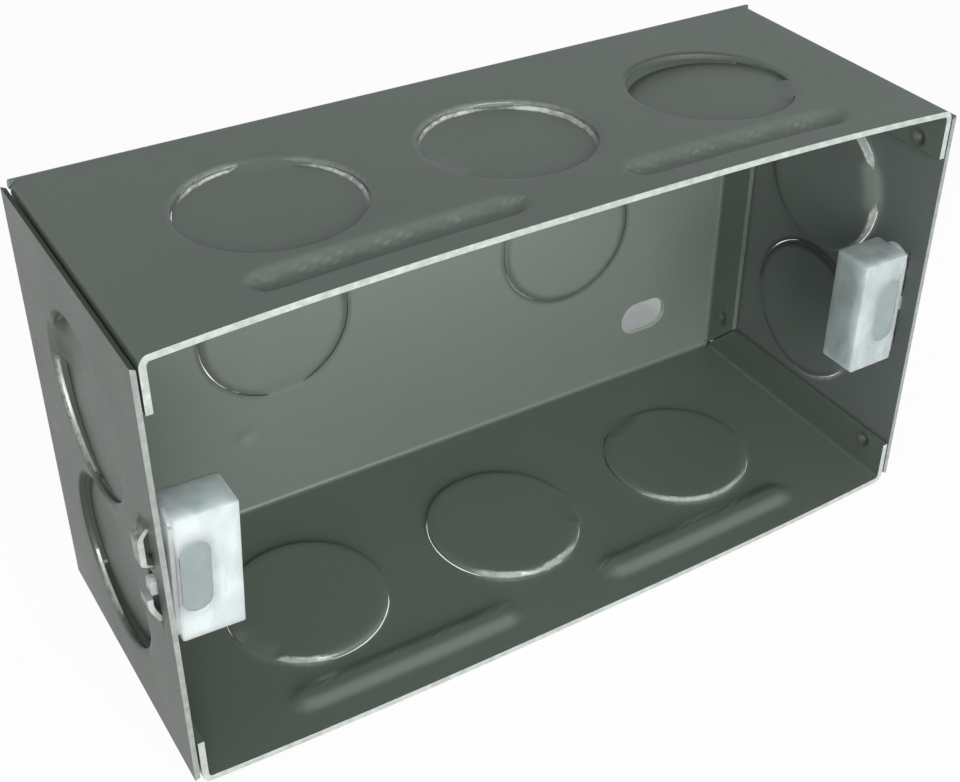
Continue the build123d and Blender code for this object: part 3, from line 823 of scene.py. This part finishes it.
def worked_copy(node, name, width, material):
    """A copy of a moulded or turned solid, welded, cleaned of flat triangles and bevelled."""
    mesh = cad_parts[node].data.copy()
    mesh.name = name
    mesh.materials.clear()
    mesh.materials.append(material)
    shape = bmesh.new()
    shape.from_mesh(mesh)
    bmesh.ops.remove_doubles(shape, verts=shape.verts, dist=1e-6)
    flat = math.radians(2)
    bmesh.ops.dissolve_limit(shape, angle_limit=flat, verts=shape.verts, edges=shape.edges)
    shape.to_mesh(mesh)
    shape.free()
    piece = finished(name, mesh)
    bevel = piece.modifiers.new("soft_edges", "BEVEL")
    bevel.width, bevel.segments = width * MM, 3
    bevel.limit_method, bevel.angle_limit = "ANGLE", math.radians(35)
    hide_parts(node)
    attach(piece, "root")


def slot_skin(side, float_gap, lean, drop, material):
    """A thin skin in the mouth of a holder's screw slot: a stadium drawn by rings about its
    middle line, with a face towards the front and one towards the nut."""
    turn = np.linspace(0, 2 * np.pi, SKIN_STEPS, endpoint=False)
    radius, run = SKIN_WIDTH / 2, (SKIN_LENGTH - SKIN_WIDTH) / 2
    middle = np.stack([0 * turn, run * np.sign(np.sin(turn) + 1e-9)], -1)
    ray = np.stack([np.cos(turn), np.sin(turn)], -1)
    rings = [middle + share * radius * ray for share in (1, 0.97, 0.6, 0.3)]
    outline = np.concatenate(rings)
    count, around = len(outline), len(turn)
    inset = HALF - float_gap - EAR_SHEET - SKIN_INSET
    depth = np.full(count, SKIN_SHEET / 2)
    depth[:around] -= SKIN_EDGE
    x, z = inset + outline[:, 0], HOLDER_MIDDLE + outline[:, 1]
    recess = FRONT + SKIN_RECESS
    points = np.concatenate([np.stack([x, recess + sign * depth, z], -1) for sign in (-1, 1)])
    if lean:
        corner = np.array([HALF - float_gap, 0, HOLDER_MIDDLE - EAR_HEIGHT / 2])
        c, s = math.cos(math.radians(lean)), math.sin(math.radians(lean))
        x, z = (points - corner)[:, 0], (points - corner)[:, 2]
        points[:, 0] = corner[0] + c * x - s * z
        points[:, 2] = corner[2] + s * x + c * z - drop
    flip = -1 if side == "left" else 1
    points[:, 0] *= flip
    j = np.arange(around)
    nxt = (j + 1) % around
    last = (len(rings) - 1) * around + j
    front = ring_quads(len(rings), around).tolist() + [last.tolist()]
    rear = [[corner + count for corner in face[::-1]] for face in front]
    wall = np.stack([nxt, j, j + count, nxt + count], -1).tolist()
    mesh = bpy.data.meshes.new(f"{side}_slot_skin")
    points = (points + (0, 0, LIFT)) * MM
    mesh.from_pydata(points.tolist(), [], [face[::flip] for face in front + rear + wall])
    mesh.materials.append(material)
    piece = finished(f"{side}_slot_skin", mesh)
    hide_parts(f"{side}_nut_holder")
    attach(piece, "root")


# Direction of each tie in degrees, depth of the disc at the tie, depth opposite, and the cracks
# as kind, direction, spread and width. The long sides run from the left of their own panel.
# A crack of the third kind only darkens the sheet and the disc by the cut, painted shade of the gap; a
# bright crack also darkens the disc beside it as painted shade
TOP_TIES = ((72.0, 0.9, 1.2, (("torn", 110, 25, 0.20), ("torn", 10, 34, 0.20))),
            (194.0, 0.9, 1.3, (("torn", 110, 34, 0.30), ("torn", 18, 42, 0.34))),
            (-32.0, 0.8, 2.6, (("shaded_gap", 80, 62, 0.12),)))
BOTTOM_TIES = ((72.0, 0.7, 0.9, (("torn", -75, 40, 0.08),)),
               (190.0, 0.9, 1.2, (("torn", -60, 19, 0.20), ("torn", -104, 18, 0.24))),
               (-28.0, 0.9, 1.6, (("torn", -62, 18, 0.20),)))
BACK_TIES = ((85.0, 0.25, 0.6, (("shaded_gap", -95, 160, 0.12),)),
             (-95.0, 0.25, 0.6, (("shaded_gap", 85, 160, 0.12),)))
LEFT_TIES = ((20.0, 1.7, 0.6, (("bright", -35, 38, 0.2), ("shaded_gap", 75, 28, 0.2))),
             (204.0, 1.9, 1.3, (("bright", -45, 30, 0.15), ("shaded_gap", 20, 60, 0.15))))
RIGHT_TIES = ((163.0, 1.5, 0.7, (("torn", 163, 70, 0.08),)),
              (-18.0, 0.3, 0.5, (("shaded_gap", 90, 80, 0.06), ("bright", -120, 30, 0.02))))


def build_sheets(zinc, left_zinc_painted_shade, right_zinc_painted_light, sheared, worn):
    """The folded body and its two end plates, from the same patches on both sides."""
    top = side_panel(TOP_BOW, TOP_TIES, 100)
    bottom = half_turned(side_panel(BOTTOM_BOW, BOTTOM_TIES, 200))
    body = [top, bottom, back_panel(BACK_TIES, 300), long_fold(), half_turned(long_fold())]
    for right in (side_tab(), mirrored(side_tab(), 2), back_tab()):
        body += [right, mirrored(right, 0)]
    left = [mirrored(end_plate(LEFT_TIES, 400), 0)]
    right = [end_plate(RIGHT_TIES, 500)]
    pieces = (("folded_body", "box_body", "body_steel", body, (zinc, sheared)),
              ("left_plate", "left_end_plate", "plate_steel", left, (left_zinc_painted_shade, sheared, worn)),
              ("right_plate", "right_end_plate", "plate_steel", right, (right_zinc_painted_light, sheared, worn)))
    for name, node, slot, patches, materials in pieces:
        piece = sheet_object(name, patches, materials)
        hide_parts(node)
        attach(piece, "root")


# Camera, solved from the corners of the box in the photograph, in degrees and metres
AZIMUTH, ELEVATION, ROLL = -33.4985, 34.2196, 1.5193
CAMERA_PLACE = Vector((-0.105178, -0.168475, 0.175546))
FOCAL_PIXELS = 1479.97
AXIS_PIXEL = (535.93, 342.34)
PHOTO_SIZE = (960, 782)

# Lamps, as place, size in metres and power in watts, and the floor, just under the box
LAMPS = {"front_lamp": ((-0.14, -0.85, 0.30), 0.6, 11.2),
         "top_lamp": ((-0.35, -0.3, 0.85), 0.8, 0.8)}
LAMP_TARGET = Vector((0.0, 0.0, 0.04))
FLOOR_HALF, FLOOR_LEVEL = 1.2, -0.0002

# Tints of the zinc, as colour, bloom, scale of the grain, metal and gloss. The plates are the body's
# sheet: the left one's darker tint is painted shade, the right one's lighter tint painted light.
BODY_TINT = ((0.134, 0.159, 0.138), (0.143, 0.169, 0.147), 1.0, 0.2, 0.4)
LEFT_SHADED_TINT = ((0.082, 0.095, 0.080), (0.095, 0.110, 0.093), 1.3, 0.1, 0.1)
RIGHT_LIGHTENED_TINT = ((0.148, 0.170, 0.157), (0.161, 0.183, 0.170), 0.8, 0.1, 0.15)

# Tints of the sheared edges and of the plastic, as dark and light, and the depth of bumps. The right
# holder's plastic is the left one's, darkened as painted shade.
SHEARED_TINT = ((0.38, 0.41, 0.385), (0.50, 0.54, 0.51))
WORN_TINT = ((0.24, 0.26, 0.245), (0.32, 0.345, 0.325))
MILKY_TINT = ((0.45, 0.52, 0.52), (0.55, 0.63, 0.63))
MILKY_SHADED_TINT = ((0.31, 0.36, 0.36), (0.39, 0.445, 0.445))
BUMP_DEPTH = 0.00005


def set_camera():
    """A camera at the photograph's place, with the small shift of its framing."""
    azimuth, elevation, roll = (math.radians(value) for value in (AZIMUTH, ELEVATION, ROLL))
    flat = math.cos(elevation)
    back = Vector((math.sin(azimuth) * flat, -math.cos(azimuth) * flat, math.sin(elevation)))
    level = Vector((0, 0, 1)).cross(back).normalized()
    rise = back.cross(level)
    right = level * math.cos(roll) + rise * math.sin(roll)
    up = rise * math.cos(roll) - level * math.sin(roll)
    data = bpy.data.cameras.new("view_camera")
    data.sensor_width = 36
    data.sensor_fit = "HORIZONTAL"
    data.lens = FOCAL_PIXELS * data.sensor_width / PHOTO_SIZE[0]
    data.shift_x = (PHOTO_SIZE[0] / 2 - AXIS_PIXEL[0]) / PHOTO_SIZE[0]
    data.shift_y = (AXIS_PIXEL[1] - PHOTO_SIZE[1] / 2) / PHOTO_SIZE[0]
    data.clip_start = 0.01
    camera = bpy.data.objects.new("view_camera", data)
    pose = Matrix((right, up, back)).transposed().to_4x4()
    pose.translation = CAMERA_PLACE
    camera.matrix_world = pose
    bpy.context.collection.objects.link(camera)
    bpy.context.scene.camera = camera


def seen_share(w, mirrored_share):
    """One for rays of the camera and through glass, and its own share for mirrored rays."""
    path = w.add("LightPath").outputs
    seen = w.math("MAXIMUM", path["Is Camera Ray"], path["Is Transmission Ray"])
    return w.math("MAXIMUM", seen, w.math("MULTIPLY", path["Is Glossy Ray"], mirrored_share))


def set_stage():
    """A pale floor that keeps the shadow, and a plain grey world that the camera sees as white.

    Close behind the box the floor shows its own shade, so that the shadow lies there: the
    share of white is a ramp of the distance to the middle of an ellipse."""
    steps = np.linspace(-FLOOR_HALF, FLOOR_HALF, 25)
    xx, yy = (value.ravel() for value in np.meshgrid(steps, steps, indexing="ij"))
    mesh = bpy.data.meshes.new("floor")
    points = np.stack([xx, yy, np.full(len(xx), FLOOR_LEVEL)], -1)
    mesh.from_pydata(points.tolist(), [], grid_quads(len(steps), len(steps)).reshape(-1, 4).tolist())
    floor = bpy.data.objects.new("floor", mesh)
    bpy.context.collection.objects.link(floor)
    material, w, shader, place = start_material("pale_floor")
    pale = w.mix(w.noise(place, 60.0), (0.90, 0.90, 0.90), (0.94, 0.94, 0.94))
    w.feed(shader, {"Base Color": pale, "Roughness": 0.8})
    ellipse = {0: w.stretch(place, 18.0, 25.0, 0.0), 1: (0.54, 0.9, 0.0)}
    away = w.add("VectorMath", ellipse, operation="DISTANCE").outputs["Value"]
    share = w.math("MULTIPLY", seen_share(w, 1.0), w.fit(away, 0.8, 1.25, 0.1, 0.95))
    white = w.add("Emission", {"Color": (1, 1, 1), "Strength": 1.0})
    lit = material.node_tree.nodes["Principled BSDF"].outputs[0]
    mixed = w.add("MixShader", {0: share, 1: lit, 2: white.outputs[0]})
    w.put(material.node_tree.nodes["Material Output"].inputs["Surface"], mixed.outputs[0])
    mesh.materials.append(material)
    world = bpy.data.worlds.new("studio")
    world.use_nodes = True
    bpy.context.scene.world = world
    w = Wiring(world.node_tree)
    back = world.node_tree.nodes["Background"].inputs
    grey = w.mix(seen_share(w, 0.4), (0.265, 0.285, 0.288), (1, 1, 1))
    w.feed(back, {"Color": grey, "Strength": 1.0})


def add_lamp(name, place, size, watts):
    """A square soft lamp that looks from its place to the middle of the box."""
    data = bpy.data.lights.new(name, "AREA")
    data.size = size
    data.energy = watts
    lamp = bpy.data.objects.new(name, data)
    lamp.location = place
    lamp.rotation_euler = (LAMP_TARGET - Vector(place)).to_track_quat("-Z", "Y").to_euler()
    bpy.context.collection.objects.link(lamp)


set_camera()
set_stage()
for lamp, (place, size, watts) in LAMPS.items():
    add_lamp(lamp, place, size, watts)

rolled_zinc = zinc_group()
body_zinc = sheet_material("body_zinc", rolled_zinc, *BODY_TINT)
# The plates' own copies of the zinc: the left one darkened as painted shade, the right one lightened as
# painted light
left_zinc_painted_shade = sheet_material("left_zinc_painted_shade", rolled_zinc, *LEFT_SHADED_TINT)
right_zinc_painted_light = sheet_material("right_zinc_painted_light", rolled_zinc, *RIGHT_LIGHTENED_TINT)
sheared_steel = sheared_group()
sheared_edge = sheared_material("sheared_edge", sheared_steel, *SHEARED_TINT)
worn_edge = sheared_material("worn_edge", sheared_steel, *WORN_TINT)
build_sheets(body_zinc, left_zinc_painted_shade, right_zinc_painted_light, sheared_edge, worn_edge)
moulded_cloud = moulding_group()
milky = plastic_material("milky_plastic", moulded_cloud, *MILKY_TINT)
# The right holder gets a darkened copy of the milky plastic: painted shade
milky_painted_shade = plastic_material("milky_plastic_painted_shade", moulded_cloud, *MILKY_SHADED_TINT)
brass = nut_material()
for side, plastic in (("left", milky), ("right", milky_painted_shade)):
    worked_copy(f"{side}_nut_holder", f"{side}_holder", HOLDER_BEVEL, plastic)
    worked_copy(f"{side}_nut", f"{side}_square_nut", NUT_BEVEL, brass)

frosted = skin_material()
slot_skin("left", LEFT_FLOAT, LEFT_LEAN, LEFT_DROP, frosted)
slot_skin("right", RIGHT_FLOAT, 0, 0, frosted)

bpy.context.scene.view_settings.view_transform = "Standard"
bpy.context.view_layer.update()
